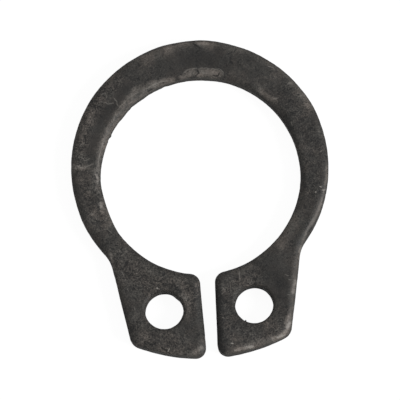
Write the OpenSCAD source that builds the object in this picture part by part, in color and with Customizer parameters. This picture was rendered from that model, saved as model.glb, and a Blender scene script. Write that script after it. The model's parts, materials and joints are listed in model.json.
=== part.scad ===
// External retaining ring for a shaft: one piece of stamped spring steel.
// The ring lies flat in X and Y with its lower face at z = 0. The origin is the centre of the round
// inner edge, which grips the shaft groove. The gap between the two eyed lugs points along -Y.
// The face that was struck first is on top: its edges are rolled over, and the lower edges are sharp.

/* [Limb] */
// Radius of the inner edge, which grips the groove
bore_r = 3.7; // [3.4:0.05:3.9]
// Thickness of the strip
thickness = 0.8; // [0.7:0.05:1.2]
// Width of the limb at its widest, opposite the gap
limb_wide = 1.39; // [1.2:0.01:1.7]
// Width that the limb's taper comes down to where it reaches the gap
limb_narrow = 0.73; // [0.7:0.01:0.9]

/* [Lugs] */
// Reach of a lug from the inner edge to its far side
lug_reach = 3.06; // [2.8:0.01:3.3]
// Half width of the pair of lugs, on the line through the two holes
lug_half_width = 3.15; // [3:0.01:3.3]
// Lean of each outer flank, in degrees
flank_lean = 10.2; // [7:0.1:14]
// Half width of the gap at the inner edge
gap_half_width = 0.285; // [0.2:0.005:0.4]
// Lean of each side of the gap, in degrees
gap_lean = 1.5; // [0:0.1:2.5]

/* [Plier holes] */
// Radius of each hole
hole_r = 0.705; // [0.6:0.005:0.8]
// Distance between the two holes
hole_spacing = 3.32; // [3.2:0.01:3.4]
// Distance of each hole from the inner edge
hole_inset = 1.52; // [1.45:0.01:1.6]

/* [Corners] */
// Radius where the inner edge turns into the gap
inner_corner_r = 0.4; // [0.35:0.01:0.45]
// Radius where the gap turns into the far side of a lug
outer_corner_r = 0.375; // [0.33:0.005:0.45]
// Radius where the far side of a lug turns into its flank
flank_corner_r = 0.53; // [0.4:0.01:0.65]
// Radius of the hollow where a flank turns into the limb
neck_r = 1.23; // [0.9:0.01:1.6]

/* [Edges] */
// Width of the rolled edge on the upper face
roll_w = 0.27; // [0.15:0.01:0.3]
// Drop of the rolled edge, from the upper face to the sheared wall
roll_d = 0.12; // [0.06:0.01:0.2]
// Width of the rolled edge round a plier hole
hole_roll_w = 0.13; // [0.06:0.01:0.16]
// Drop of the rolled edge round a plier hole
hole_roll_d = 0.07; // [0.03:0.01:0.1]
// Width of the break on the lower edges
break_w = 0.04; // [0.02:0.005:0.06]

/* [Hidden] */
$fn = 128;
// Flats that a rolled edge is made of, from the face to the wall
roll_steps = 5;
// How far a cut runs past the faces of the strip
past = 1;
// How far an edge stands proud at each corner of the outline, so that the edges cross there cleanly
proud = 0.004;
// How far a straight side runs on under the hollow of the neck
lap = 0.2;
// How far a straight side reaches in past the centres of the corners at its ends
behind = 0.05;

// Centres of the round edges: the outer edge sits off the bore, so that the limb tapers
centre = [0, 0];
outer_r = bore_r + (limb_wide + limb_narrow) / 2;
outer_centre = [0, (limb_wide - limb_narrow) / 2];
lug_r = bore_r + lug_reach;
hole_x = hole_spacing / 2;
hole_y = -sqrt(pow(bore_r + hole_inset, 2) - pow(hole_x, 2));

// Straight sides of the lug at +X, each as the way that it faces and its distance from the centre
gap_side = [-cos(gap_lean), sin(gap_lean)];
gap_at = gap_side * [gap_half_width, -bore_r];
flank = [cos(flank_lean), -sin(flank_lean)];
flank_at = flank * [lug_half_width, hole_y];

// Centre of a corner that joins a straight side to a round edge. Its distance from the origin, measured
// the way that the side faces, is at, and its distance from the round edge's centre is reach. Two points
// fit, and the lower one is the lug's.
function corner(side, at, round_centre, reach) =
    let (
        out = at - side * round_centre,
        along = side[0] > 0 ? [side[1], -side[0]] : [-side[1], side[0]]
    )
    round_centre + side * out + along * sqrt(reach * reach - out * out);

inner_corner = corner(gap_side, gap_at - inner_corner_r, centre, bore_r + inner_corner_r);
outer_corner = corner(gap_side, gap_at - outer_corner_r, centre, lug_r - outer_corner_r);
flank_corner = corner(flank, flank_at - flank_corner_r, centre, lug_r - flank_corner_r);
neck_centre = corner(flank, flank_at + neck_r, outer_centre, outer_r + neck_r);

// Where the edges run into each other, and the points inside the limb that split the lug into pieces
gap_top = inner_corner + gap_side * inner_corner_r;
gap_end = outer_corner + gap_side * outer_corner_r;
flank_end = flank_corner + flank * flank_corner_r;
flank_top = neck_centre - flank * neck_r;
neck_inward = (outer_centre - neck_centre) / norm(outer_centre - neck_centre);
neck_edge = neck_centre + neck_inward * neck_r;
neck_depth = (norm(neck_edge) - bore_r) / 2;
neck_middle = neck_edge + neck_inward * neck_depth;
neck_inside = flank_top - flank * neck_depth;
flank_above = flank_top + (flank_top - flank_end) / norm(flank_top - flank_end) * lap;
root_turn = (bearing(inner_corner) + bearing(neck_middle)) / 2;
root = norm(inner_corner) * [cos(root_turn), sin(root_turn)];

// Turn of a direction from +X, in degrees
function bearing(way) = atan2(way[1], way[0]);

// Section of a sheared edge from the lower face to the upper one: a small break, the wall and the
// rolled edge. The material lies at smaller x, or at larger x where side is -1.
function edge_section(x, side, roll_w, roll_d) =
    let (roll_r = (roll_w * roll_w + roll_d * roll_d) / (2 * roll_d))
    concat(
        [[x - side * break_w, 0], [x, break_w]],
        [for (step = [roll_steps:-1:0])
            let (in = roll_w * step / roll_steps)
            [x - side * (roll_w - in), thickness - roll_r + sqrt(roll_r * roll_r - in * in)]]
    );

// Round plate with the sheared edge all round
module round_plate(at, r) {
    translate(at)
        rotate_extrude()
            polygon(concat([[0, 0]], edge_section(r, 1, roll_w, roll_d), [[0, thickness]]));
}

// What is punched out of the strip to leave a round hole with the sheared edge
module punch(at, r, roll_w, roll_d) {
    below = [[0, -past], [r + break_w, -past]];
    above = [[r + roll_w, thickness + past], [0, thickness + past]];
    translate(at)
        rotate_extrude()
            polygon(concat(below, edge_section(r, -1, roll_w, roll_d), above));
}

// Straight strip that follows run from start. Its sheared edge faces left, and it reaches right by depth.
module straight_side(start, run, depth) {
    translate(start)
        rotate([90, 0, bearing(run) + 90])
            linear_extrude(norm(run))
                polygon(concat([[-depth, 0]], edge_section(0, 1, roll_w, roll_d), [[-depth, thickness]]));
}

// Upright block over an outline, taller than the strip, which keeps one piece of a plate
module block(points) {
    translate([0, 0, -past])
        linear_extrude(thickness + 2 * past)
            polygon(points);
}

// Half of the tapered limb, from the top down to the neck and the inner corner
module half_limb() {
    clear = 2 * lug_r;
    difference() {
        intersection() {
            round_plate(outer_centre, outer_r);
            block([
                [0, clear], centre, inner_corner, root, neck_middle, flank_top,
                flank_top + clear * flank, [clear, clear]
            ]);
        }
        punch(centre, bore_r, roll_w, roll_d);
    }
}

// Hollow that carries the outer edge of the limb into the flank of the lug
module neck() {
    difference() {
        linear_extrude(thickness)
            polygon([neck_centre, neck_middle, neck_inside]);
        punch(neck_centre, neck_r + proud, roll_w, roll_d);
    }
}

// Lug at +X: flat middle, then its edges one after another from the inner corner round to the neck
module lug() {
    linear_extrude(thickness)
        polygon([inner_corner, outer_corner, flank_corner, neck_inside, neck_middle, root]);
    round_plate(inner_corner, inner_corner_r + proud);
    straight_side(gap_end, gap_top - gap_end, max(inner_corner_r, outer_corner_r) + behind);
    round_plate(outer_corner, outer_corner_r + proud);
    intersection() {
        round_plate(centre, lug_r);
        block([outer_corner, 2 * outer_corner, 2 * flank_corner, flank_corner]);
    }
    round_plate(flank_corner, flank_corner_r + proud);
    straight_side(flank_above, flank_end - flank_above, flank_corner_r + behind);
    neck();
}

// Ring: two equal halves, then the two plier holes
module retaining_ring() {
    color([0.24, 0.23, 0.22])
        difference() {
            for (way = [0, 1])
                mirror([way, 0, 0]) {
                    half_limb();
                    lug();
                }
            for (way = [-1, 1])
                punch([way * hole_x, hole_y], hole_r, hole_roll_w, hole_roll_d);
        }
}

retaining_ring();
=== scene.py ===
import json
import math
from typing import NamedTuple

import bmesh
import bpy
import numpy as np
from bpy.props import FloatProperty, FloatVectorProperty, PointerProperty
from mathutils import Matrix, Vector, kdtree, noise


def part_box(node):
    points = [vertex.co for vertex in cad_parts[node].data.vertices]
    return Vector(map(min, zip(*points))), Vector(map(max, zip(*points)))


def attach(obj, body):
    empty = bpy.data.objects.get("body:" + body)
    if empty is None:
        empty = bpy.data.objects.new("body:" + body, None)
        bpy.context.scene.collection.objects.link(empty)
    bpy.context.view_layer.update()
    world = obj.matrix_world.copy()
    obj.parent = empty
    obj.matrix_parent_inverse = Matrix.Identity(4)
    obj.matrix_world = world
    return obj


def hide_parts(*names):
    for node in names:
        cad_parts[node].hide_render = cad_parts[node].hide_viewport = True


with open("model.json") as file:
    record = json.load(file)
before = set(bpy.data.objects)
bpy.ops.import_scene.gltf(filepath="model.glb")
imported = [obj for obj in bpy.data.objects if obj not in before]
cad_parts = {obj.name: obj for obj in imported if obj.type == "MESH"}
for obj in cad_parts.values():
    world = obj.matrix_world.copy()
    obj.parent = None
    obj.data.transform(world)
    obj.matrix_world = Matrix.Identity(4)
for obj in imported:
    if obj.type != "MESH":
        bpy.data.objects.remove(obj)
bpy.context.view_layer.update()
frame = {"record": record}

bl_info = {
    "name": "Circlip Ring",
    "version": (1, 0, 0),
    "blender": (4, 5, 0),
    "location": "3D View > Sidebar > Circlip",
    "description": "A stamped circlip with rolled edges, worn phosphate finish and a plain studio",
    "category": "Add Mesh",
}

NODE = "retaining_ring"
BODY = "root"
MM = 0.001
UP = Vector((0, 0, 1))


def mount(name):
    """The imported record's mount of that name."""
    return next(m for m in frame["record"]["mounts"] if m["name"] == name)


# The frame gives the bore, the holes, the thickness and the reach of the ring's outer edge
CAD_BORE_R = mount("shaft_seat")["dims"]["r_mm"] * MM
CAD_HOLE_R = mount("plier_hole_right")["dims"]["r_mm"] * MM
CAD_HOLE_AT = mount("plier_hole_right")["pos_m"]
CAD_LOW, CAD_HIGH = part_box(NODE)
CAD_OUTER_R = CAD_HIGH.x

# Steps along each stretch of one half's outline
BORE_STEPS = 240
CORNER_STEPS = 14
GAP_STEPS = 46
FAR_STEPS = 38
FLANK_STEPS = 40
NECK_LUG_STEPS = 10
NECK_LIMB_STEPS = 10
LUG_BORE_STEPS = 32

# Rows of faces across the limb and between a lug's outline and its hole, and cuts round the wall
LIMB_ROWS = 18
LUG_ROWS = 16
WALL_CUTS = 9

# Insets of the rows of points along an edge, as shares of the width of its roll
EDGE_ROWS = (0.0, 0.12, 0.28, 0.45, 0.63, 0.81, 1.0)

# Share of a size within which two points are one, or a point lies on a face or on an edge
SAME_POINT = 1e-5
TOUCHING = 1e-3
# Reach of an edge's roughness into the face, in widths of its roll
ROUGH_REACH = 1.5
# A rubbed place lies at its full depth where its strength, times this, comes to 1
RUBBED_DEEPEST = 1.5


class Stroke(NamedTuple):
    """A mark on the upper face, along a line of points or at a single one.

    A point is a bearing in degrees and a distance in mm, both from the bore's centre, and the half width
    is in mm.
    """

    half_width: float
    strength: float
    points: list


def marks(*rows):
    """Strokes from rows that hold a half width, a strength and the points."""
    return [Stroke(half_width, strength, points) for half_width, strength, *points in rows]


def thin_marks(*rows):
    """Strokes at full strength from rows that hold a half width and the points."""
    return [Stroke(half_width, 1.0, points) for half_width, *points in rows]


# Where handling has rubbed the finish thin, with painted highlights mixed in on rolled edges that face the
# key light
RUBBED_AND_HIGHLIT = marks(
    # Along the bore on the left, up from the cross line: rubbed wear, and a painted highlight on the roll,
    # which faces the key light
    (0.13, 0.66, (174.5, 3.78), (170.5, 3.82), (160.5, 3.80), (155.5, 3.79), (150.5, 3.77)),
    (0.13, 0.60, (150.5, 3.83), (145.0, 3.84), (139.5, 3.86), (133.5, 3.88), (128.0, 3.93)),
    (0.17, 0.70, (127.5, 3.93), (123.0, 3.99), (119.0, 3.89), (111.5, 3.82)),
    (0.10, 0.85, (111.5, 3.80), (106.5, 3.81), (102.0, 3.74)),
    (0.08, 0.72, (160.0, 3.70), (146.0, 3.72), (128.0, 3.74), (116.0, 3.74), (106.0, 3.71)),
    # Scuff across the top of the bore, in two parts, and one on the outer edge above it
    (0.09, 0.85, (97.0, 3.75), (94.5, 3.78)),
    (0.15, 0.80, (93.8, 3.80), (91.8, 3.85), (89.6, 3.88)),
    (0.18, 0.92, (86.4, 3.85), (76.3, 3.87)),
    (0.08, 0.8, (88.0, 4.97), (83.0, 4.98)),
    # Upper right
    (0.12, 0.72, (51.0, 3.86), (46.0, 3.87), (41.5, 3.92)),
    (0.08, 0.5, (31.0, 4.73), (29.0, 4.73)),
    # Outer edge, lower right, down to the neck: a painted highlight on the roll, which faces the key light,
    # with rubbed wear
    (0.06, 0.70, (0.9, 4.69), (-5.5, 4.65), (-10.8, 4.61), (-17.5, 4.58), (-21.0, 4.56)),
    (0.07, 0.66, (-21.0, 4.55), (-26.5, 4.50), (-29.5, 4.45)),
    (0.06, 0.72, (-29.5, 4.45), (-34.5, 4.48), (-40.5, 4.60), (-44.5, 4.79)),
    # Left, below the cross line
    (0.05, 1.0, (175.0, 3.87), (177.0, 3.79), (180.5, 3.79)),
    (0.07, 1.0, (192.5, 3.86), (195.5, 3.87), (197.0, 3.89)),
    # Left lug: a streak along the neck, and the corner at the gap
    (0.06, 0.70, (217.5, 4.40), (219.6, 4.49), (222.3, 4.62), (224.5, 4.77)),
    (0.09, 0.8, (264.5, 6.62), (266.5, 6.45)),
    # Right lug, far side and flank: painted highlights on the rolls, which face the light from the lower
    # right, with rubbed wear
    (0.07, 0.80, (277.5, 6.68), (279.5, 6.65), (283.0, 6.69)),
    (0.10, 0.95, (290.0, 6.69), (292.5, 6.71), (294.5, 6.66)),
    (0.07, 1.0, (295.5, 6.55), (297.0, 6.42)),
    (0.07, 0.7, (295.5, 6.38), (298.5, 6.16)),
    (0.07, 0.8, (304.0, 5.58), (307.5, 5.29)),
)

# Where the finish is lighter, or with a negative strength darker, without a clear edge: smudges, with painted
# highlights and painted shade on some rolled edges
SMUDGES_AND_PAINTED_LIGHT = marks(
    # Limb, from the cross line round the top
    (0.11, 0.75, (172.0, 4.74), (172.5, 4.50), (172.5, 4.33)),
    (0.12, 0.30, (172.4, 4.16), (173.5, 3.98)),
    (0.08, 0.25, (162.0, 4.00)),
    (0.20, 0.30, (146.5, 4.71), (150.5, 4.48)),
    (0.25, 0.12, (138.0, 4.66), (135.0, 4.40)),
    (0.20, -0.12, (165.0, 4.18), (152.5, 4.25), (142.0, 4.20), (127.0, 4.25)),
    # These seven, along the outer top rolled edge: painted highlight where the edge faces the light from
    # ahead, with rubbed wear
    (0.22, 0.42, (111.0, 4.77), (107.5, 4.82), (103.5, 4.83), (100.5, 4.82)),
    (0.16, 0.35, (100.5, 4.90), (96.0, 4.90), (90.5, 4.91)),
    (0.13, 0.50, (86.5, 4.93), (81.0, 4.92)),
    (0.16, 0.20, (83.5, 4.78), (81.5, 4.72)),
    (0.12, 0.16, (127.0, 4.92), (118.0, 4.95), (111.0, 4.96)),
    (0.10, 0.30, (112.0, 4.98), (100.0, 5.00), (92.0, 5.00)),
    (0.12, 0.30, (80.0, 4.98), (65.0, 4.96), (50.0, 4.92), (38.0, 4.87), (28.0, 4.82)),
    (0.35, -0.10, (100.0, 4.30), (85.0, 4.38), (70.0, 4.35)),
    (0.14, 0.22, (54.5, 3.92), (50.5, 3.92)),
    (0.22, 0.28, (48.9, 4.61)),
    (0.12, 0.35, (43.4, 4.67), (41.8, 4.80)),
    (0.18, 0.25, (37.5, 4.76), (33.5, 4.76), (28.0, 4.77)),
    (0.17, 0.28, (18.0, 4.67), (15.0, 4.73)),
    (0.10, 0.30, (9.1, 4.70)),
    # Painted shade along the bore's right edge, whose roll faces away from the key light
    (0.16, -0.14, (25.0, 3.78), (10.0, 3.78), (-8.0, 3.78)),
    (0.50, -0.07, (35.0, 4.40), (10.0, 4.30), (-15.0, 4.20)),
    # Outer edge on the right, down to the neck and the flank: painted highlight on the rolls, which face the
    # key light, with rubbed wear
    (0.10, 0.06, (1.0, 4.68), (-4.0, 4.65), (-8.5, 4.63), (-12.5, 4.62), (-17.0, 4.60)),
    (0.15, 0.18, (-17.0, 4.58), (-21.0, 4.55), (-26.5, 4.52), (-30.5, 4.49), (-34.5, 4.46)),
    (0.15, 0.22, (-40.5, 4.57), (-44.5, 4.75), (-48.5, 4.95), (-52.0, 5.21)),
    (0.17, 0.32, (-52.0, 5.21), (-55.5, 5.51), (-59.0, 5.92), (-61.5, 6.27), (-64.0, 6.55)),
    # Bore edge, lower right
    (0.22, 0.28, (-27.0, 3.94), (-30.5, 3.90), (-35.5, 3.97), (-40.5, 3.99), (-45.5, 3.98)),
    (0.13, 0.24, (-27.0, 3.77), (-40.0, 3.79), (-59.0, 3.80)),
    # Left, below the cross line
    (0.13, 0.25, (176.0, 3.84), (182.0, 3.82), (188.0, 3.84), (192.0, 3.86)),
    (0.18, 0.32, (200.5, 3.84), (204.0, 3.89)),
    (0.16, 0.18, (205.5, 4.02), (209.0, 4.02)),
    (0.14, 0.18, (196.5, 4.30), (199.0, 4.20)),
    (0.20, 0.08, (178.0, 4.45), (190.0, 4.40)),
    (0.50, 0.14, (198.0, 4.15), (208.0, 4.20), (217.0, 4.20)),
    (0.13, 0.20, (190.0, 3.76), (205.0, 3.78), (222.0, 3.78)),
    (0.35, -0.09, (226.0, 4.25), (236.0, 4.40)),
    # Left lug
    (0.09, 0.42, (218.5, 4.46), (223.0, 4.68)),
    (0.16, 0.22, (222.0, 4.01), (226.5, 4.11)),
    (0.13, 0.28, (255.0, 4.07), (258.5, 4.38), (260.5, 4.66), (261.3, 5.05), (261.2, 5.34)),
    (0.22, 0.20, (240.5, 3.98), (248.0, 4.02), (256.5, 4.12)),
    (0.35, -0.10, (262.0, 4.30), (265.5, 4.60)),
    (0.20, 0.32, (267.0, 6.19), (266.3, 6.53), (263.5, 6.72)),
    (0.18, 0.30, (245.5, 6.43), (248.0, 6.36)),
    (0.13, 0.30, (253.0, 6.68), (257.0, 6.70), (261.0, 6.72)),
    (0.13, 0.25, (241.5, 5.68), (242.0, 5.89)),
    (0.08, -0.18, (252.5, 4.59), (258.0, 4.76), (260.0, 5.06)),
    (0.18, -0.20, (243.2, 6.22), (245.0, 6.50)),
    (0.12, -0.20, (266.0, 4.6), (267.3, 5.4), (267.6, 5.9)),
    # Right lug: painted shade along its side by the gap, which faces away from the key light, and painted
    # highlights along its far side and round its lower right corner, which face the light from the lower
    # right
    (0.17, -0.45, (275.5, 4.05), (274.5, 4.79), (273.6, 5.66), (273.0, 6.60)),
    (0.17, 0.40, (275.5, 6.70), (279.5, 6.66), (285.0, 6.64), (289.0, 6.66)),
    (0.14, 0.28, (286.0, 3.86), (294.0, 3.90)),
    (0.12, 0.30, (295.2, 3.84), (295.5, 3.96)),
    (0.12, 0.22, (277.0, 4.25), (277.5, 4.45)),
    (0.32, -0.09, (278.5, 4.40), (278.5, 5.70), (282.5, 6.25), (289.0, 6.30)),
    (0.11, 0.14, (293.5, 6.64), (297.0, 6.44), (300.0, 6.02)),
    (0.40, -0.10, (302.0, 4.6), (299.0, 5.3)),
    (0.13, 0.25, (314.5, 3.86), (314.0, 4.06)),
)

# Small dark pits and stains
PITTED = thin_marks(
    # Scuff and outer edge at the top
    (0.05, (89.2, 4.94), (86.4, 4.77)),
    (0.045, (87.6, 3.95), (87.4, 3.86)),
    (0.03, (87.8, 3.83), (88.7, 3.73)),
    (0.03, (79.0, 3.78), (76.3, 3.80), (75.6, 3.92)),
    (0.05, (117.5, 3.73), (115.0, 3.72)),
    # Left limb, most of them in a row along the bore
    (0.05, (171.1, 3.91)),
    (0.05, (174.7, 3.84)),
    (0.05, (178.3, 3.86)),
    (0.04, (180.6, 3.92)),
    (0.04, (184.5, 3.80)),
    (0.05, (185.9, 3.93)),
    (0.06, (187.2, 3.84)),
    (0.06, (189.7, 3.87)),
    (0.05, (193.0, 4.27)),
    (0.05, (193.3, 4.12)),
    (0.05, (200.4, 4.36)),
    (0.07, (208.2, 4.00)),
    # Right limb
    (0.05, (-20.5, 4.01), (-21.5, 4.09)),
    (0.04, (-29.7, 4.54), (-31.7, 4.52)),
    # Left lug
    (0.08, (226.5, 4.22), (227.2, 4.35)),
    (0.05, (253.3, 4.25)),
    (0.05, (259.0, 4.11)),
    (0.05, (261.3, 4.18)),
    (0.05, (263.2, 4.38)),
    (0.05, (264.3, 4.65), (263.5, 4.72)),
    (0.04, (253.6, 6.60), (256.3, 6.71)),
    (0.05, (251.4, 6.52)),
    (0.05, (242.9, 6.17)),
    # Right lug
    (0.07, (293.8, 4.40)),
    (0.06, (292.6, 4.54)),
    (0.05, (294.6, 4.59)),
    (0.05, (293.9, 4.12)),
    (0.06, (292.6, 6.01)),
    (0.05, (280.7, 5.91)),
    (0.05, (283.9, 6.14)),
    (0.05, (282.2, 6.27)),
    (0.05, (291.7, 6.48)),
)

# Where the grain of the finish is coarser, or with a negative strength smoother
COARSE = marks(
    (0.38, 0.75, (170.0, 4.55), (160.0, 4.62), (150.0, 4.68), (140.0, 4.74), (128.0, 4.80)),
    (0.24, -0.4, (165.0, 4.18), (152.5, 4.25), (142.0, 4.22), (127.0, 4.25)),
    (0.45, 0.5, (180.0, 4.10), (192.0, 4.15), (200.0, 4.10)),
    (0.80, 0.6, (222.0, 4.40), (240.0, 4.50), (256.0, 4.30), (264.0, 4.50)),
    (0.60, 0.5, (245.0, 6.20), (258.0, 6.40)),
    (0.60, 0.45, (276.0, 4.60), (277.0, 6.00), (283.0, 6.30), (292.0, 6.10)),
    (0.45, 0.6, (292.0, 4.40), (284.0, 4.30)),
    (0.50, 0.35, (38.0, 4.35), (15.0, 4.30), (-12.0, 4.20)),
    (0.45, -0.25, (100.0, 4.40), (80.0, 4.45)),
    (0.60, -0.3, (305.0, 4.50), (300.0, 5.30)),
)

# Thin pale scratches
SCRATCHED = thin_marks(
    (0.025, (95.6, 3.88), (93.4, 3.97), (91.2, 4.01), (88.2, 4.03)),
    (0.020, (86.6, 4.03), (81.0, 4.02), (75.8, 4.04), (73.6, 3.95), (73.4, 3.86)),
    (0.025, (94.8, 4.99), (91.0, 4.98)),
    (0.025, (134.1, 4.31), (135.3, 4.01)),
    (0.022, (139.1, 4.59), (138.1, 4.34), (136.2, 4.21)),
    (0.025, (136.4, 4.76), (134.9, 4.67), (136.1, 4.54)),
    (0.025, (162.9, 4.58), (161.6, 4.54), (160.6, 4.45)),
    (0.022, (167.5, 4.48), (168.8, 4.28), (167.6, 4.13)),
    (0.045, (172.5, 4.47), (172.5, 4.35)),
    (0.025, (172.2, 4.26), (171.1, 4.17), (170.0, 3.97)),
    (0.035, (195.8, 4.32), (196.2, 4.26)),
    (0.020, (143.5, 3.82), (138.4, 3.94), (129.5, 3.94), (122.1, 3.88)),
    (0.020, (118.5, 3.84), (111.3, 3.82), (104.5, 3.79)),
    (0.020, (170.9, 3.80), (161.8, 3.81), (155.7, 3.80)),
    (0.025, (43.0, 3.93), (41.3, 4.09)),
    (0.022, (26.9, 3.90), (24.7, 3.89)),
    (0.025, (7.1, 4.49), (7.7, 4.60)),
    (0.025, (54.4, 4.79), (52.5, 4.85)),
    (0.035, (43.0, 4.70), (41.7, 4.84)),
    (0.020, (-53.8, 4.88), (-53.0, 4.98)),
    (0.022, (184.4, 3.95), (183.4, 3.88), (184.4, 3.81), (186.0, 3.78)),
    (0.020, (206.0, 4.08), (207.2, 3.96), (209.2, 3.94)),
    (0.020, (216.1, 4.36), (216.7, 4.31)),
    (0.022, (240.3, 5.50), (240.7, 5.59)),
    (0.022, (227.6, 4.60), (229.8, 4.75)),
    (0.025, (259.0, 4.55), (260.2, 4.75)),
    (0.022, (277.2, 4.25), (277.7, 4.37)),
    (0.020, (276.2, 4.53), (277.0, 4.51)),
    (0.020, (306.0, 5.11), (306.6, 5.15)),
    (0.020, (301.7, 5.51), (302.4, 5.57)),
    (0.025, (288.0, 3.90), (286.6, 4.23)),
    (0.022, (275.1, 5.40), (275.6, 5.41)),
    (0.025, (280.9, 4.91), (281.3, 4.92)),
    (0.025, (291.4, 6.45), (292.5, 6.45)),
    (0.020, (281.7, 4.60), (282.6, 4.63)),
)

# Small bright specks and dashes of bare steel
SPECKLED = thin_marks(
    (0.017, (-9.8, 4.43), (-9.7, 4.50)),
    (0.020, (-12.6, 4.30), (-12.6, 4.33)),
    (0.021, (-11.1, 4.54), (-10.6, 4.65)),
    (0.034, (245.4, 4.53), (245.7, 4.53)),
    (0.022, (256.3, 6.59), (256.1, 6.68)),
    (0.035, (276.7, 6.40), (277.1, 6.41)),
    (0.042, (281.6, 6.66), (283.0, 6.70)),
    (0.050, (291.3, 6.69), (293.6, 6.73)),
)


class Nick(NamedTuple):
    """A small fault of an edge: its x and y, its half length and how far it bites into the steel, in mm."""

    x: float
    y: float
    half_length: float
    bite: float


# Nicks in the sheared edges, and burrs where the bite is negative
NICKS = (
    Nick(-3.20, 1.80, 0.09, -0.035),
    Nick(-3.28, 1.66, 0.10, 0.018),
    Nick(-2.72, 2.50, 0.30, -0.018),
    Nick(-2.35, 2.85, 0.12, 0.018),
    Nick(-1.93, 3.15, 0.28, -0.016),
    Nick(-1.10, 3.53, 0.15, 0.015),
    Nick(-3.60, -0.95, 1.20, -0.052),
    Nick(2.35, 4.45, 2.20, 0.026),
    Nick(4.55, -0.90, 0.06, 0.022),
    Nick(1.30, -5.56, 0.035, -0.055),
    Nick(-1.20, -4.43, 0.22, -0.022),
)


class Waver(NamedTuple):
    """How a size wavers from place to place.

    The share of the size runs from the least up by the spread. Across is how wide its features are,
    in mm, and each seed gives a course of its own.
    """

    least: float
    spread: float
    across: float
    seed: int

    def at(self, place):
        """Share of the size at a place."""
        return self.least + self.spread * stray(place, self.across * MM, self.seed)


# Rolled edges, the hollows of the face, the long and short waves of a sheared edge, and its torn part
ROLL_DROP = Waver(0.7, 0.6, 1.1, 3)
ROLL_WIDTH = Waver(0.8, 0.5, 0.9, 11)
HOLE_ROLL_DROP = Waver(0.6, 0.8, 0.5, 5)
HOLLOW = Waver(0.0, 1.0, 0.8, 7)
LONG_WAVE = Waver(-0.5, 0.7, 0.9, 17)
SHORT_WAVE = Waver(0.0, 0.3, 0.12, 23)
TORN = Waver(0.0, 1.0, 0.06, 29)


class Pattern(NamedTuple):
    """Noise in the finish.

    It has a scale in features to the mm, a detail in octaves, their roughness, a warp, and a share in
    the grain or in the tone.
    """

    scale: float
    detail: float
    rough: float
    warp: float = 0.0
    share: float = 1.0


# Noises of the finish, from the broadest to the finest, and the one that bends thin marks
CLOUD = Pattern(0.9, 2.0, 0.6, share=0.7)
TINT = Pattern(1.7, 2.0, 0.6, 0.5)
MOTTLE = Pattern(3.6, 3.0, 0.7, 0.8, 0.6)
CURL = Pattern(4.2, 2.0, 0.6, 1.6, 0.20)
GRIT = Pattern(5.5, 2.0, 0.6, 3.0, 1.6)
PORE = Pattern(8.0, 1.0, 0.5, share=-0.40)
DUST = Pattern(20.0, 1.0, 0.5, share=1.2)
WAVE = Pattern(6.0, 1.0, 0.5)

# Where each colour of the finish stands on the scale of its tone
TONES = {"pit": 0.0, "dark": 0.42, "light": 0.8, "rubbed_and_highlit": 1.15, "bare": 1.6}

# Ranges over which a curl, a pore, a warm patch, a rubbed place, a painted highlight and a thin mark come in
CURL_RANGE = (0.13, 0.02)
PORE_RANGE = (0.60, 0.72)
WARM_RANGE = (0.40, 0.62)
RUBBED_AND_HIGHLIT_RANGE = (0.15, 1.05)
MARK_RANGE = (1.3, 0.3)
# How much of the mottles and the grit shows in the outline of a rubbed place and of a painted highlight
RUBBED_AND_HIGHLIT_GRAIN = 0.6


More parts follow.
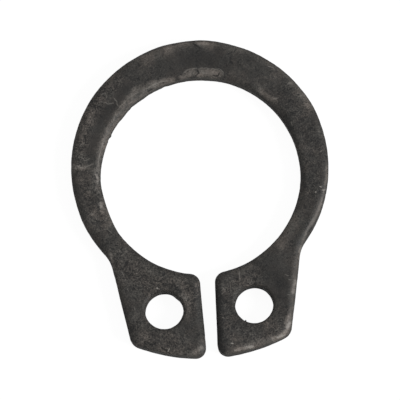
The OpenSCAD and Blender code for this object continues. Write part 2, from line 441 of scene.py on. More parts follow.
class RingSizes(bpy.types.PropertyGroup):
    """Sizes of the ring. The frame gives those that the shaft, the pliers and the shelf depend on."""

    bore_radius: FloatProperty(
        name="Bore radius", description="Radius of the round inner edge",
        default=CAD_BORE_R, min=0, unit="LENGTH")
    thickness: FloatProperty(
        name="Thickness", description="Thickness of the strip",
        default=CAD_HIGH.z, min=0, unit="LENGTH")
    outer_radius: FloatProperty(
        name="Outer radius", description="Radius of the limb's round outer edge",
        default=CAD_OUTER_R, min=0, unit="LENGTH")
    outer_shift: FloatProperty(
        name="Outer shift", description="How far the outer edge's centre lies from the bore's",
        default=CAD_HIGH.y - CAD_OUTER_R, unit="LENGTH")
    lug_reach: FloatProperty(
        name="Lug reach", description="Reach of a lug from the bore to its far side",
        default=3.06 * MM, min=0, unit="LENGTH")
    lug_half_width: FloatProperty(
        name="Half width of the lugs", description="Half the width across both lugs, at the holes",
        default=3.15 * MM, min=0, unit="LENGTH")
    flank_lean: FloatProperty(
        name="Flank lean", description="Lean of a lug's outer flank",
        default=math.radians(10.2), subtype="ANGLE")
    gap_half_width: FloatProperty(
        name="Half width of the gap", description="Half the width of the gap, at the bore",
        default=0.285 * MM, min=0, unit="LENGTH")
    gap_lean: FloatProperty(
        name="Gap lean", description="Lean of each side of the gap",
        default=math.radians(1.5), subtype="ANGLE")
    hole_radius: FloatProperty(
        name="Hole radius", description="Radius of a plier hole",
        default=CAD_HOLE_R, min=0, unit="LENGTH")
    hole_at: FloatVectorProperty(
        name="Hole place", description="Centre of the plier hole at +X",
        default=CAD_HOLE_AT[:2], size=2, subtype="XYZ", unit="LENGTH")
    inner_corner_radius: FloatProperty(
        name="Inner corner radius", description="Radius between the bore and the gap",
        default=0.4 * MM, min=0, unit="LENGTH")
    outer_corner_radius: FloatProperty(
        name="Outer corner radius", description="Radius between the gap and a lug's far side",
        default=0.375 * MM, min=0, unit="LENGTH")
    flank_corner_radius: FloatProperty(
        name="Flank corner radius", description="Radius between a lug's far side and its flank",
        default=0.53 * MM, min=0, unit="LENGTH")
    neck_radius: FloatProperty(
        name="Neck radius", description="Radius of the hollow between a flank and the limb",
        default=1.23 * MM, min=0, unit="LENGTH")
    roll_width: FloatProperty(
        name="Roll width", description="Width of the rolled edge",
        default=0.27 * MM, min=0, unit="LENGTH")
    roll_drop: FloatProperty(
        name="Roll drop", description="Drop of the rolled edge at the wall",
        default=0.12 * MM, min=0, unit="LENGTH")
    hole_roll_width: FloatProperty(
        name="Hole roll width", description="Width of the rolled edge round a plier hole",
        default=0.13 * MM, min=0, unit="LENGTH")
    hole_roll_drop: FloatProperty(
        name="Hole roll drop", description="Drop of the rolled edge round a plier hole",
        default=0.07 * MM, min=0, unit="LENGTH")
    break_width: FloatProperty(
        name="Lower break", description="Width of the break along the lower edges",
        default=0.04 * MM, min=0, unit="LENGTH")
    ragged: FloatProperty(
        name="Ragged edge", description="How far the sheared edge strays from its true line",
        default=0.018 * MM, min=0, unit="LENGTH")
    uneven: FloatProperty(
        name="Uneven face", description="Depth of the shallow hollows in the upper face",
        default=0.012 * MM, min=0, unit="LENGTH")
    rubbed_depth: FloatProperty(
        name="Rubbed depth", description="How deep the rubbed places lie in the upper face",
        default=0.008 * MM, min=0, unit="LENGTH")
    torn_height: FloatProperty(
        name="Torn height", description="Share of the wall that tore off rough, up from its lower edge",
        default=0.4, min=0, max=1, subtype="FACTOR")
    torn_depth: FloatProperty(
        name="Torn depth", description="Depth of the rough part of the wall",
        default=0.02 * MM, min=0, unit="LENGTH")


class SteelFinish(bpy.types.PropertyGroup):
    """Colours of the dark finish, of the places where it is worn, and of the painted highlights on some
    rolled edges.
    """

    pit: FloatVectorProperty(
        name="Pits", description="The darkest pits and stains of the finish",
        default=(0.0050, 0.0048, 0.0046), size=3, subtype="COLOR", min=0, max=1)
    dark: FloatVectorProperty(
        name="Dark finish", description="The plain dark finish",
        default=(0.0296, 0.0276, 0.0253), size=3, subtype="COLOR", min=0, max=1)
    light: FloatVectorProperty(
        name="Light finish", description="Thin or dusty places in the finish",
        default=(0.0690, 0.0624, 0.0558), size=3, subtype="COLOR", min=0, max=1)
    # Also the colour of the painted highlights on rolled edges that face the lamps
    rubbed_and_highlit: FloatVectorProperty(
        name="Rubbed steel", description="Where the finish is rubbed thin",
        default=(0.124, 0.111, 0.1005), size=3, subtype="COLOR", min=0, max=1)
    bare: FloatVectorProperty(
        name="Bare steel", description="Scratches and specks down to the steel",
        default=(0.210, 0.195, 0.177), size=3, subtype="COLOR", min=0, max=1)
    cool: FloatVectorProperty(
        name="Cool tint", description="What the finish is multiplied by in its cooler patches",
        default=(0.972, 0.990, 0.990), size=3, subtype="COLOR", min=0, max=1)
    warm: FloatVectorProperty(
        name="Warm tint", description="What the finish is multiplied by in its warmer patches",
        default=(1.0, 0.970, 0.952), size=3, subtype="COLOR", min=0, max=1)
    tone: FloatProperty(
        name="Tone", description="Tone of the plain finish, from 0 in a pit to 1.6 on bare steel",
        default=0.276)
    grain: FloatProperty(
        name="Grain", description="How strongly the grain shows where it is neither coarse nor smooth",
        default=0.62, min=0)
    grain_lost: FloatProperty(
        name="Grain lost", description="How much of the grain is lost where the finish is rubbed",
        default=0.25, min=0, max=1, subtype="FACTOR")
    # Also sets the painted highlights and painted shade on some rolled edges
    smudge_strength: FloatProperty(
        name="Smudges", description="How strongly the smudges show",
        default=0.8, min=0)
    # Also lifts the painted highlights on rolled edges that face the lamps
    rubbed_strength: FloatProperty(
        name="Rubbed strength", description="How far a rubbed place rises in tone",
        default=0.75, min=0)
    wall_tone: FloatProperty(
        name="Wall tone", description="How far the walls rise in tone",
        default=0.02)
    pit_strength: FloatProperty(
        name="Pit strength", description="How strongly the single pits show",
        default=0.9, min=0, max=1, subtype="FACTOR")
    scratch_strength: FloatProperty(
        name="Scratch strength", description="How strongly the scratches show",
        default=0.33, min=0, max=1, subtype="FACTOR")
    wander: FloatProperty(
        name="Wander", description="How far thin marks may wander off their line",
        default=0.10 * MM, min=0, unit="LENGTH")
    roughness: FloatProperty(
        name="Roughness", description="Roughness of the plain finish",
        default=0.52, min=0, max=1, subtype="FACTOR")
    grain_roughness: FloatProperty(
        name="Grain roughness", description="How far the roughness follows the grain",
        default=0.25)
    wall_roughness: FloatProperty(
        name="Wall roughness", description="How much rougher the sheared walls are",
        default=0.38)
    rubbed_roughness: FloatProperty(
        name="Rubbed roughness", description="How much rougher the rubbed places are, below 0 where smoother",
        default=-0.08)
    specular: FloatProperty(
        name="Specular", description="Strength of the reflections",
        default=0.2, min=0, max=1, subtype="FACTOR")
    grain_height: FloatProperty(
        name="Grain height", description="Height of the grain",
        default=0.008 * MM, min=0, unit="LENGTH")
    grain_relief: FloatProperty(
        name="Grain relief", description="How strongly the grain's height shades the surface",
        default=0.8, min=0, max=1, subtype="FACTOR")


class Studio(bpy.types.PropertyGroup):
    """The camera's place and the plain white studio."""

    view_width: FloatProperty(
        name="View width", description="Width of what the camera sees at the ring",
        default=14.809 * MM, min=0, unit="LENGTH")
    camera_distance: FloatProperty(
        name="Camera distance", description="Distance of the camera from the ring",
        default=0.25, min=0, unit="LENGTH")
    aim: FloatVectorProperty(
        name="Aim", description="What the middle of the picture looks at",
        default=(-0.0764 * MM, -0.7933 * MM, 0), size=3, subtype="XYZ", unit="LENGTH")
    picture_turn: FloatProperty(
        name="Picture turn", description="Turn of the ring in the picture, clockwise",
        default=math.radians(3.77), subtype="ANGLE")
    tilt: FloatProperty(
        name="Tilt", description="Lean of the camera from straight above, towards the lugs",
        default=math.radians(10.17), subtype="ANGLE")
    side_tilt: FloatProperty(
        name="Side tilt", description="Lean of the camera from straight above, towards the right",
        default=math.radians(0.97), subtype="ANGLE")
    floor_rise: FloatProperty(
        name="Floor rise", description="How far the ring's lower face presses into the floor",
        default=0.004 * MM, min=0, unit="LENGTH")
    floor_colour: FloatVectorProperty(
        name="Floor", description="Colour of the floor",
        default=(0.8, 0.8, 0.8), size=3, subtype="COLOR", min=0, max=1)
    floor_shade: FloatProperty(
        name="Floor shade", description="Share of the floor's colour that takes shadow in the picture",
        default=0.12, min=0, max=1, subtype="FACTOR")
    floor_glow: FloatProperty(
        name="Floor glow", description="Light that the picture adds to the floor",
        default=0.945, min=0)
    world_light: FloatProperty(
        name="World light", description="Strength of the light from all sides",
        default=0.38, min=0)


class Lamp(NamedTuple):
    """A soft round lamp: its way from the ring, its distance and size in metres, and its power in watts."""

    right: float
    ahead: float
    up: float
    distance: float
    size: float
    power: float


LAMPS = {
    "key": Lamp(1.0, -0.30, 0.75, 0.5, 0.24, 2.48),
    "fill": Lamp(0.0, 0.5, 1.0, 0.3, 0.25, 0.12),
}

# Half the floor's side, and the nearest and furthest that the camera sees, in distances of the camera
FLOOR_REACH = 4
CLIP_NEAR = 0.1
CLIP_FAR = 20


def bearing(way):
    """Turn of a direction from +X."""
    return math.atan2(way.y, way.x)


def heading(turn):
    """Unit vector at a turn from +X."""
    return Vector((math.cos(turn), math.sin(turn), 0))


def corner(side, at, round_centre, reach):
    """Lower point at a distance at along side from the origin, and at a reach from a round edge's centre."""
    out = at - side.dot(round_centre)
    along = Vector((side.y, -side.x, 0)) * (1 if side.x > 0 else -1)
    return round_centre + side * out + along * math.sqrt(reach * reach - out * out)


def sweep(bm, last, centre, turn, steps):
    """Carries the outline's last point round a centre and returns the new last point."""
    swept = bmesh.ops.spin(
        bm, geom=[last], cent=centre, axis=UP, angle=turn, steps=steps,
        dvec=Vector((0, 0, 0)), use_merge=False, use_duplicate=False)
    return next(g for g in swept["geom_last"] if isinstance(g, bmesh.types.BMVert))


def run(bm, last, end, steps):
    """Carries the outline's last point straight to end and returns the new last point."""
    stride = (end - last.co) / steps
    for _ in range(steps):
        last = bmesh.ops.extrude_vert_indiv(bm, verts=[last])["verts"][0]
        last.co += stride
    return last


def half_outline(bm, s):
    """Draws the outline of the half at +X, from the top of the bore round the lug to the outer top."""
    centre = Vector((0, 0, 0))
    outer_centre = Vector((0, s.outer_shift, 0))
    hole = Vector((*s.hole_at, 0))
    lug_r = s.bore_radius + s.lug_reach
    gap_side = Vector((-math.cos(s.gap_lean), math.sin(s.gap_lean), 0))
    gap_at = gap_side.dot(Vector((s.gap_half_width, -s.bore_radius, 0)))
    flank = Vector((math.cos(s.flank_lean), -math.sin(s.flank_lean), 0))
    flank_at = flank.dot(Vector((s.lug_half_width, hole.y, 0)))
    inner_corner = corner(
        gap_side, gap_at - s.inner_corner_radius, centre, s.bore_radius + s.inner_corner_radius)
    outer_corner = corner(
        gap_side, gap_at - s.outer_corner_radius, centre, lug_r - s.outer_corner_radius)
    flank_corner = corner(
        flank, flank_at - s.flank_corner_radius, centre, lug_r - s.flank_corner_radius)
    neck_centre = corner(
        flank, flank_at + s.neck_radius, outer_centre, s.outer_radius + s.neck_radius)

    neck_start = bearing(-flank)
    neck_end = bearing(outer_centre - neck_centre)
    neck_split = neck_start + (neck_end - neck_start) * NECK_LUG_STEPS / (NECK_LUG_STEPS + NECK_LIMB_STEPS)
    root = bearing(neck_centre + heading(neck_split) * s.neck_radius)
    top = math.pi / 2

    last = bm.verts.new((0, s.bore_radius, 0))
    last = sweep(bm, last, centre, root - top, BORE_STEPS)
    last = sweep(bm, last, centre, bearing(inner_corner) - root, LUG_BORE_STEPS)
    last = sweep(
        bm, last, inner_corner, bearing(gap_side) - bearing(-inner_corner), CORNER_STEPS)
    last = run(bm, last, outer_corner + gap_side * s.outer_corner_radius, GAP_STEPS)
    last = sweep(
        bm, last, outer_corner, bearing(outer_corner) + math.tau - bearing(gap_side), CORNER_STEPS)
    last = sweep(bm, last, centre, bearing(flank_corner) - bearing(outer_corner), FAR_STEPS)
    last = sweep(
        bm, last, flank_corner, bearing(flank) - bearing(flank_corner), CORNER_STEPS)
    last = run(bm, last, neck_centre - flank * s.neck_radius, FLANK_STEPS)
    last = sweep(bm, last, neck_centre, neck_split - neck_start, NECK_LUG_STEPS)
    last = sweep(bm, last, neck_centre, neck_end - neck_split, NECK_LIMB_STEPS)
    sweep(
        bm, last, outer_centre, top - bearing(neck_centre - outer_centre), BORE_STEPS - NECK_LIMB_STEPS)


def walk(start, first):
    """The points of a closed row of open edges in order, from start towards first."""
    row = [start, first]
    while True:
        here, before = row[-1], row[-2]
        open_edges = (e for e in here.link_edges if len(e.link_faces) < 2)
        after = next(v for v in (e.other_vert(here) for e in open_edges) if v is not before)
        if after is start:
            return row
        row.append(after)


def grow(bm, row, closed, place):
    """Extrudes a row of points, moves each new point to place(old point), and returns them in order."""
    others = row[1:] + row[:1] if closed else row[1:]
    edges = [bm.edges.get(pair) for pair in zip(row, others)]
    grown = bmesh.ops.extrude_edge_only(bm, edges=edges)
    new = {g for g in grown["geom"] if isinstance(g, bmesh.types.BMVert)}
    moved = [next(e.other_vert(v) for e in v.link_edges if e.other_vert(v) in new) for v in row]
    for old, point in zip(row, moved):
        point.co = place(old)
    return moved


def inward(row):
    """Unit vector into the steel at each point of the outline, which has the steel on its left."""
    ways = {}
    for before, here, after in zip(row[-1:] + row[:-1], row, row[1:] + row[:1]):
        along = (here.co - before.co).normalized() + (after.co - here.co).normalized()
        ways[here] = Vector((-along.y, along.x, 0)).normalized()
    return ways


def span(bm, row, closed, ends, rows):
    """Extrudes a row of points up to the places in ends, in equal steps, and returns the last row."""
    for left in range(rows, 0, -1):
        ways = {v: (end - v.co) / left for v, end in zip(row, ends)}
        row = grow(bm, row, closed, lambda v: v.co + ways[v])
    return row


def hole_centre(s, side):
    """Centre of the plier hole on one side, 1 for +X and -1 for -X."""
    return Vector((s.hole_at[0] * side, s.hole_at[1], 0))


def flat_sheet(bm, s):
    """Makes the ring a flat sheet of quads and returns its outline with the ways into the steel."""
    half_outline(bm, s)
    bmesh.ops.mirror(bm, geom=bm.verts[:] + bm.edges[:], merge_dist=s.bore_radius * SAME_POINT, axis="X")
    start = min(bm.verts, key=lambda v: (v.co - Vector((0, s.bore_radius, 0))).length)
    first = max((e.other_vert(start) for e in start.link_edges), key=lambda v: v.co.x)
    row = walk(start, first)
    half = len(row) // 2
    ways = inward(row)
    outline = [(v.co.copy(), way) for v, way in ways.items()]

    for share, after in zip(EDGE_ROWS, EDGE_ROWS[1:]):
        stride = (after - share) * s.roll_width
        row = grow(bm, row, True, lambda v: v.co + ways[v] * stride)
        ways = inward(row)

    bore = [row[i] for i in range(-BORE_STEPS, BORE_STEPS + 1)]
    outer = [row[i] for i in range(half + BORE_STEPS, half - BORE_STEPS - 1, -1)]
    last = span(bm, bore, False, [v.co for v in outer], LIMB_ROWS)
    bmesh.ops.weld_verts(bm, targetmap=dict(zip(last, outer)))

    for side in (1, -1):
        begin = side * (BORE_STEPS + 1)
        lug = walk(row[begin], row[begin + side])
        eye(bm, lug, hole_centre(s, side), s)
    return outline


def eye(bm, row, hole, s):
    """Fills a lug between its row of points and the edge of its hole."""
    def round_hole(share):
        reach = s.hole_radius + share * s.hole_roll_width
        return [hole + (v.co - hole).normalized() * reach for v in row]

    row = span(bm, row, True, round_hole(1.0), LUG_ROWS)
    for share in EDGE_ROWS[-2::-1]:
        row = span(bm, row, True, round_hole(share), 1)


def thicken(bm, s):
    """Raises a copy of the flat sheet to the upper face and joins the two by walls."""
    raised = bmesh.ops.extrude_face_region(bm, geom=bm.faces[:], use_keep_orig=True)
    upper = [g for g in raised["geom"] if isinstance(g, bmesh.types.BMVert)]
    bmesh.ops.translate(bm, verts=upper, vec=UP * s.thickness)
    posts = [e for e in bm.edges if abs(e.verts[0].co.z - e.verts[1].co.z) > s.thickness / 2]
    bmesh.ops.subdivide_edges(bm, edges=posts, cuts=WALL_CUTS, use_grid_fill=True)
    bmesh.ops.recalc_face_normals(bm, faces=bm.faces[:])


def roll_drop(inset, width, drop):
    """Depth of a rolled edge below the face at an inset from the wall."""
    if inset >= width:
        return 0.0
    radius = (width * width + drop * drop) / (2 * drop)
    into = width - inset
    return radius - math.sqrt(radius * radius - into * into)


def stray(place, across, seed):
    """Smooth irregularity from 0 to 1 at a place, with features about that far across."""
    return min(1.0, max(0.0, 0.5 + noise.noise(place / across + Vector((seed, seed * 0.7, seed * 1.3)))))


def on_face(turn, reach):
    """Place in mm at a bearing in degrees and a distance in mm from the bore's centre."""
    return reach * np.array((math.cos(math.radians(turn)), math.sin(math.radians(turn))))


def off_line(places, stroke):
    """Distance of each place from a stroke's line, as a share of its half width."""
    points = [on_face(*point) for point in stroke.points]
    nearest = np.linalg.norm(places - points[0], axis=1)
    for start, end in zip(points, points[1:]):
        along = end - start
        share = np.clip((places - start) @ along / (along @ along), 0, 1)
        nearest = np.minimum(nearest, np.linalg.norm(places - start - share[:, None] * along, axis=1))
    return nearest / stroke.half_width


def strongest(places, strokes):
    """Strength of the strongest stroke at each place: all of it on its line and half of it at its edge."""
    fields = [stroke.strength * (1 - 0.5 * off_line(places, stroke) ** 2) for stroke in strokes]
    return np.maximum(0, np.max(fields, axis=0))


def softly(places, strokes):
    """Sum of the strokes at each place, each fading out smoothly past its edge."""
    return sum(
        stroke.strength * np.maximum(0, 1 - off_line(places, stroke) ** 2 / 2) ** 2 for stroke in strokes)


def nick_bite(flat):
    """How far the nicks near a place move an edge into the steel."""
    bite = 0.0
    for nick in NICKS:
        away = math.hypot(flat.x / MM - nick.x, flat.y / MM - nick.y) / nick.half_length
        if away < 1:
            bite += nick.bite * MM * (1 - away * away) ** 2
    return bite


def shape_edges(bm, s, outline):
    """Rolls the upper edges, breaks the lower ones, roughens both, and keeps the wear and the painted light
    of each point.
    """
    names = ("wall", "face", "rubbed_and_highlit", "smudges_and_painted_light", "coarse")
    layers = {name: bm.verts.layers.float.new(name) for name in names}
    places = np.array([v.co.xy for v in bm.verts]) / MM
    wear_and_painted_light = {
        "rubbed_and_highlit": strongest(places, RUBBED_AND_HIGHLIT), "smudges_and_painted_light": softly(places, SMUDGES_AND_PAINTED_LIGHT),
        "coarse": softly(places, COARSE),
    }
    tree = kdtree.KDTree(len(outline))
    for i, (place, _) in enumerate(outline):
        tree.insert(place, i)
    tree.balance()
    near = s.roll_width * ROUGH_REACH
    for i, v in enumerate(bm.verts):
        flat = Vector((v.co.x, v.co.y, 0))
        _, index, from_edge = tree.find(flat)
        hole = hole_centre(s, 1 if flat.x > 0 else -1)
        from_hole = (flat - hole).length - s.hole_radius
        level = v.co.z / s.thickness
        edge = min(from_edge, from_hole)
        v[layers["wall"]] = 1.0 if edge < s.roll_width * TOUCHING else 0.0

        drop = s.roll_drop * ROLL_DROP.at(flat)
        hole_drop = s.hole_roll_drop * HOLE_ROLL_DROP.at(flat)
        if level > 1 - TOUCHING:
            v[layers["face"]] = 1.0
            for name, field in wear_and_painted_light.items():
                v[layers[name]] = field[i]
            depth = roll_drop(from_edge, s.roll_width * ROLL_WIDTH.at(flat), drop)
            depth += roll_drop(max(from_hole, 0), s.hole_roll_width, hole_drop)
            depth += s.uneven * HOLLOW.at(flat)
            depth += s.rubbed_depth * min(1.0, wear_and_painted_light["rubbed_and_highlit"][i] * RUBBED_DEEPEST)
            v.co.z -= depth
        elif level < TOUCHING:
            v.co.z += max(0.0, s.break_width - edge)
        else:
            # The walls take the rubbed places and their painted highlights too, less towards the lower face
            v[layers["rubbed_and_highlit"]] = wear_and_painted_light["rubbed_and_highlit"][i] * level
            top = s.thickness - (drop if from_edge < from_hole else hole_drop)
            v.co.z = s.break_width + level * (top - s.break_width)

        if edge < near:
            way = outline[index][1] if from_edge < from_hole else (flat - hole).normalized()
            inset = s.ragged * (LONG_WAVE.at(v.co) + SHORT_WAVE.at(v.co)) + nick_bite(flat)
            if TOUCHING < level < s.torn_height:
                inset += s.torn_depth * TORN.at(v.co)
            v.co += way * inset * (1 - edge / near)
            v.co.x = min(CAD_HIGH.x, max(CAD_LOW.x, v.co.x))
            v.co.y = min(CAD_HIGH.y, max(CAD_LOW.y, v.co.y))


def ring_mesh(s):
    """The whole ring as a mesh: flat sheet, walls, rolled edges, and wear with painted light."""
    bm = bmesh.new()
    outline = flat_sheet(bm, s)
    thicken(bm, s)
    shape_edges(bm, s, outline)
    for face in bm.faces:
        face.smooth = True
    mesh = bpy.data.meshes.new("circlip")
    bm.to_mesh(mesh)
    bm.free()
    return mesh


def feed(tree, socket, value):
    """Links a socket to the one that its value comes from, or sets it to a plain value."""
    if isinstance(value, bpy.types.NodeSocket):
        tree.links.new(value, socket)
    else:
        socket.default_value = value


def add(tree, kind, inputs=None, **settings):
    """Adds a node, feeds its inputs by name or number, and returns it."""
    node = tree.nodes.new(kind)
    for key, value in settings.items():
        setattr(node, key, value)
    for key, value in (inputs or {}).items():
        feed(tree, node.inputs[key], value)
    return node


def maths(tree, operation, *values):
    """Result of a sum on numbers or sockets."""
    return add(tree, "ShaderNodeMath", dict(enumerate(values)), operation=operation).outputs[0]


def vector_maths(tree, operation, *values, output=0):
    """Result of a sum on vectors, or its value where that output is named."""
    node = add(tree, "ShaderNodeVectorMath", dict(enumerate(values)), operation=operation)
    return node.outputs[output]


def ease(tree, value, low, high):
    """0 on the side of low, 1 on the side of high, and a smooth change between."""
    names = {"Value": value, "From Min": low, "From Max": high}
    return add(tree, "ShaderNodeMapRange", names, interpolation_type="SMOOTHSTEP").outputs[0]


def blend(tree, factor, a, b, kind="MIX"):
    """Colour a where factor is 0, and colour b or the given mixture of both where it is 1."""
    node = add(tree, "ShaderNodeMix", data_type="RGBA", blend_type=kind)
    ends = {"Factor_Float": factor, "A_Color": a, "B_Color": b}
    for socket in node.inputs:
        if socket.identifier in ends:
            feed(tree, socket, ends[socket.identifier])
    return next(out for out in node.outputs if out.identifier == "Result_Color")


def texture(tree, place, pattern, output=0):
    """Noise from 0 to 1: its value, or its colour where that output is named."""
    names = {
        "Vector": place, "Scale": pattern.scale, "Detail": pattern.detail,
        "Roughness": pattern.rough, "Distortion": pattern.warp,
    }
    return add(tree, "ShaderNodeTexNoise", names).outputs[output]


def attribute(tree, name):
    """Value that the mesh holds at each point."""
    return add(tree, "ShaderNodeAttribute", attribute_name=name).outputs["Fac"]


def about_zero(tree, value):
    """Noise moved to lie evenly about zero."""
    return maths(tree, "SUBTRACT", value, 0.5)


def total(tree, *parts):
    """Sum of values, each times its weight."""
    result = 0.0
    for value, weight in parts:
        result = maths(tree, "MULTIPLY_ADD", value, weight, result)
    return result


def opaque(colour):
    """Colour with full alpha."""
    return (*colour, 1.0)


def lines(tree, place, strokes):
    """1 along thin strokes and at single points, 0 elsewhere. Each stretch of a stroke is a thin ellipse."""
    flat = vector_maths(tree, "MULTIPLY", place, (1, 1, 0))
    nearest = None
    for stroke in strokes:
        points = [on_face(*point) for point in stroke.points]
        width = stroke.half_width
        for start, end in zip(points, points[1:] or points):
            middle, half = (start + end) / 2, (end - start) / 2
            length = float(np.linalg.norm(half))
            # The ellipse reaches past both ends by its half width, which puts its foci here
            focus = half * math.sqrt(1 + 2 * width / length) if length else half
            reach = [
                vector_maths(tree, "DISTANCE", flat, (*at, 0), output="Value")
                for at in (middle - focus, middle + focus)
            ]
            reach = maths(tree, "POWER", maths(tree, "ADD", *reach), 2.0)
            away = maths(tree, "SUBTRACT", reach, 4 * float(focus @ focus))
            away = maths(tree, "DIVIDE", away, 4 * width * width)
            nearest = away if nearest is None else maths(tree, "MINIMUM", nearest, away)
    return ease(tree, maths(tree, "SQRT", nearest), *MARK_RANGE)


def wavy(tree, place, reach):
    """Place shifted by noise with a reach in mm, so that straight lines come out wavy."""
    shift = vector_maths(tree, "SUBTRACT", texture(tree, place, WAVE, "Color"), (0.5,) * 3)
    return vector_maths(tree, "MULTIPLY_ADD", shift, (reach,) * 3, place)


def phosphated_steel(f):
    """Dark mottled finish with pits, rubbed and smudged places and fine scratches, and painted highlights and
    painted shade on some rolled edges.
    """
    material = bpy.data.materials.new("worn_phosphate_and_painted_light")
    material.use_nodes = True
    tree = material.node_tree
    shader = tree.nodes["Principled BSDF"]
    coordinates = add(tree, "ShaderNodeTexCoord").outputs["Object"]
    place = add(tree, "ShaderNodeMapping", {"Vector": coordinates, "Scale": (1 / MM,) * 3}).outputs[0]
    face, wall = attribute(tree, "face"), attribute(tree, "wall")

    # Grain: mottles, fine grit and dust, pale curls where two patches of the finish meet, and dark pores
    mottle = about_zero(tree, texture(tree, place, MOTTLE))
    grit = about_zero(tree, texture(tree, place, GRIT))
    dust = about_zero(tree, texture(tree, place, DUST))
    curl = maths(tree, "ABSOLUTE", about_zero(tree, texture(tree, place, CURL)))
    curl = ease(tree, curl, *CURL_RANGE)
    pore = ease(tree, texture(tree, place, PORE), *PORE_RANGE)
    grain = total(
        tree, (mottle, MOTTLE.share), (grit, GRIT.share), (dust, DUST.share),
        (curl, CURL.share), (pore, PORE.share))

    # Tone: broad clouds, the grain, which is weaker where the finish is rubbed, and the wear, with painted
    # highlights and painted shade on some rolled edges
    cloud = about_zero(tree, texture(tree, place, CLOUD))
    rubbed_and_highlit = total(
        tree, (attribute(tree, "rubbed_and_highlit"), 1.0), (mottle, RUBBED_AND_HIGHLIT_GRAIN), (grit, RUBBED_AND_HIGHLIT_GRAIN))
    rubbed_and_highlit = ease(tree, rubbed_and_highlit, *RUBBED_AND_HIGHLIT_RANGE)
    rubbed_and_highlit = maths(tree, "MULTIPLY", rubbed_and_highlit, maths(tree, "MAXIMUM", face, wall))
    coarse = maths(tree, "ADD", attribute(tree, "coarse"), f.grain)
    coarse = maths(tree, "SUBTRACT", coarse, maths(tree, "MULTIPLY", rubbed_and_highlit, f.grain_lost))
    tone = total(
        tree, (cloud, CLOUD.share), (maths(tree, "MULTIPLY", grain, coarse), 1.0),
        (attribute(tree, "smudges_and_painted_light"), f.smudge_strength), (rubbed_and_highlit, f.rubbed_strength),
        (wall, f.wall_tone))
    tone = maths(tree, "ADD", tone, f.tone)

    # Colour: the tone's colour with its tint, and the thin marks over it
    top = max(TONES.values())
    ramp = add(tree, "ShaderNodeValToRGB", {"Fac": maths(tree, "DIVIDE", tone, top)})
    while len(ramp.color_ramp.elements) < len(TONES):
        ramp.color_ramp.elements.new(0.5)
    for element, (name, at) in zip(ramp.color_ramp.elements, TONES.items()):
        element.position = at / top
        element.color = opaque(getattr(f, name))
    warmth = ease(tree, texture(tree, place, TINT), *WARM_RANGE)
    tint = blend(tree, warmth, opaque(f.cool), opaque(f.warm))
    finish = blend(tree, 1.0, ramp.outputs["Color"], tint, "MULTIPLY")

    strayed = wavy(tree, place, f.wander / MM)
    pitted = maths(tree, "MULTIPLY", lines(tree, strayed, PITTED), face)
    finish = blend(tree, maths(tree, "MULTIPLY", pitted, f.pit_strength), finish, opaque(f.pit))
    scratched = maths(tree, "MULTIPLY", lines(tree, strayed, SCRATCHED), f.scratch_strength)
    bare = maths(tree, "MAXIMUM", scratched, lines(tree, strayed, SPECKLED))
    finish = blend(tree, maths(tree, "MULTIPLY", bare, face), finish, opaque(f.bare))
    tree.links.new(finish, shader.inputs["Base Color"])

    roughness = total(
        tree, (grain, f.grain_roughness), (wall, f.wall_roughness), (rubbed_and_highlit, f.rubbed_roughness))
    tree.links.new(maths(tree, "ADD", roughness, f.roughness), shader.inputs["Roughness"])
    shader.inputs["Specular IOR Level"].default_value = f.specular
    relief = {"Height": grain, "Strength": f.grain_relief, "Distance": f.grain_height}
    bump = add(tree, "ShaderNodeBump", relief)
    tree.links.new(bump.outputs[0], shader.inputs["Normal"])
    return material


def seen(tree):
    """1 for rays that the camera sees straight, in a reflection or through glass, and 0 for the rest."""
    path = add(tree, "ShaderNodeLightPath")
    rays = maths(tree, "MAXIMUM", path.outputs["Is Camera Ray"], path.outputs["Is Glossy Ray"])
    return maths(tree, "MAXIMUM", rays, path.outputs["Is Transmission Ray"])


def white_floor(f):
    """White to the camera and in reflections, with the object's soft shadow kept."""
    material = bpy.data.materials.new("studio_floor")
    material.use_nodes = True
    tree = material.node_tree
    tree.nodes.clear()
    plain = add(tree, "ShaderNodeBsdfDiffuse", {"Color": opaque(f.floor_colour)})
    shade = opaque([channel * f.floor_shade for channel in f.floor_colour])
    shade = add(tree, "ShaderNodeBsdfDiffuse", {"Color": shade})
    glow = add(tree, "ShaderNodeEmission", {"Strength": f.floor_glow})
    bright = add(tree, "ShaderNodeAddShader", {0: shade.outputs[0], 1: glow.outputs[0]})
    mix = add(tree, "ShaderNodeMixShader", {0: seen(tree), 1: plain.outputs[0], 2: bright.outputs[0]})
    out = add(tree, "ShaderNodeOutputMaterial")
    tree.links.new(mix.outputs[0], out.inputs["Surface"])
    return material


def white_world(f):
    """White to the camera and in reflections, and a dimmer even light on the object."""
    world = bpy.data.worlds.new("studio")
    world.use_nodes = True
    tree = world.node_tree
    background = tree.nodes["Background"]
    background.inputs["Color"].default_value = (1, 1, 1, 1)
    strength = maths(tree, "MULTIPLY_ADD", seen(tree), 1 - f.world_light, f.world_light)
    tree.links.new(strength, background.inputs["Strength"])
    return world


def hang(name, lamp, right, ahead, aim):
    """Adds a lamp that faces the place aimed at."""
    data = bpy.data.lights.new(name, "AREA")
    data.shape = "DISK"
    data.size = lamp.size
    data.energy = lamp.power
    way = right * lamp.right + ahead * lamp.ahead + UP * lamp.up
    light = bpy.data.objects.new(name, data)
    light.location = aim + way.normalized() * lamp.distance
    light.rotation_euler = way.to_track_quat("Z", "Y").to_euler()
    bpy.context.scene.collection.objects.link(light)


class OBJECT_OT_circlip_ring(bpy.types.Operator):
    """Build the ring with its rolled edges and worn finish, with painted highlights and shade on some rolled
    edges
    """

    bl_idname = "object.circlip_ring"
    bl_label = "Add Circlip Ring"

    def execute(self, context):
        ring = bpy.data.objects.new("circlip", ring_mesh(context.scene.circlip_sizes))
        context.scene.collection.objects.link(ring)
        ring.data.materials.append(phosphated_steel(context.scene.circlip_finish))
        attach(ring, BODY)
        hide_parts(NODE)
        return {"FINISHED"}


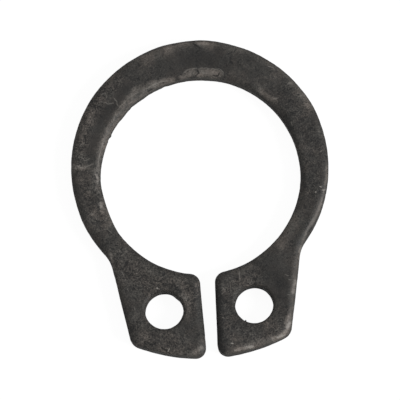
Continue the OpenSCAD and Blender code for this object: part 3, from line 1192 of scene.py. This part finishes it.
class OBJECT_OT_circlip_stage(bpy.types.Operator):
    """Set up the floor, the lamps and the camera"""

    bl_idname = "object.circlip_stage"
    bl_label = "Add Circlip Stage"

    def execute(self, context):
        f = context.scene.circlip_studio
        bm = bmesh.new()
        bmesh.ops.create_grid(
            bm, x_segments=1, y_segments=1, size=f.camera_distance * FLOOR_REACH,
            matrix=Matrix.Translation(UP * f.floor_rise))
        mesh = bpy.data.meshes.new("floor")
        bm.to_mesh(mesh)
        bm.free()
        floor = bpy.data.objects.new("floor", mesh)
        context.scene.collection.objects.link(floor)
        mesh.materials.append(white_floor(f))

        aim = Vector(f.aim)
        right = Vector((math.cos(f.picture_turn), -math.sin(f.picture_turn), 0))
        ahead = Vector((math.sin(f.picture_turn), math.cos(f.picture_turn), 0))
        back = UP * math.cos(f.tilt) - ahead * math.sin(f.tilt) + right * math.sin(f.side_tilt)
        back.normalize()
        side = ahead.cross(back).normalized()
        lens = bpy.data.cameras.new("camera")
        lens.lens = lens.sensor_width * f.camera_distance / f.view_width
        lens.clip_start = f.camera_distance * CLIP_NEAR
        lens.clip_end = f.camera_distance * CLIP_FAR
        camera = bpy.data.objects.new("camera", lens)
        turn = Matrix((side, back.cross(side), back)).transposed()
        camera.matrix_world = Matrix.Translation(aim + back * f.camera_distance) @ turn.to_4x4()
        context.scene.collection.objects.link(camera)
        context.scene.camera = camera

        for name, lamp in LAMPS.items():
            hang(name, lamp, right, ahead, aim)
        context.scene.world = white_world(f)
        context.scene.view_settings.view_transform = "Standard"
        return {"FINISHED"}


class VIEW3D_PT_circlip(bpy.types.Panel):
    """Sizes, finish and studio of the circlip"""

    bl_label = "Circlip"
    bl_idname = "VIEW3D_PT_circlip"
    bl_space_type = "VIEW_3D"
    bl_region_type = "UI"
    bl_category = "Circlip"

    def draw(self, context):
        for group in (
            context.scene.circlip_sizes, context.scene.circlip_finish, context.scene.circlip_studio,
        ):
            box = self.layout.box()
            for name in group.bl_rna.properties.keys():
                if name not in ("rna_type", "name"):
                    box.prop(group, name)
        self.layout.operator(OBJECT_OT_circlip_ring.bl_idname)
        self.layout.operator(OBJECT_OT_circlip_stage.bl_idname)


CLASSES = (
    RingSizes, SteelFinish, Studio,
    OBJECT_OT_circlip_ring, OBJECT_OT_circlip_stage, VIEW3D_PT_circlip,
)


def register():
    """Adds the classes and the scene's three groups of settings."""
    for cls in CLASSES:
        bpy.utils.register_class(cls)
    bpy.types.Scene.circlip_sizes = PointerProperty(type=RingSizes)
    bpy.types.Scene.circlip_finish = PointerProperty(type=SteelFinish)
    bpy.types.Scene.circlip_studio = PointerProperty(type=Studio)


def unregister():
    """Takes away what register() added."""
    del bpy.types.Scene.circlip_studio
    del bpy.types.Scene.circlip_finish
    del bpy.types.Scene.circlip_sizes
    for cls in reversed(CLASSES):
        bpy.utils.unregister_class(cls)


def main():
    """Builds the ring and its studio."""
    register()
    bpy.ops.object.circlip_ring()
    bpy.ops.object.circlip_stage()


if __name__ == "__main__":
    main()
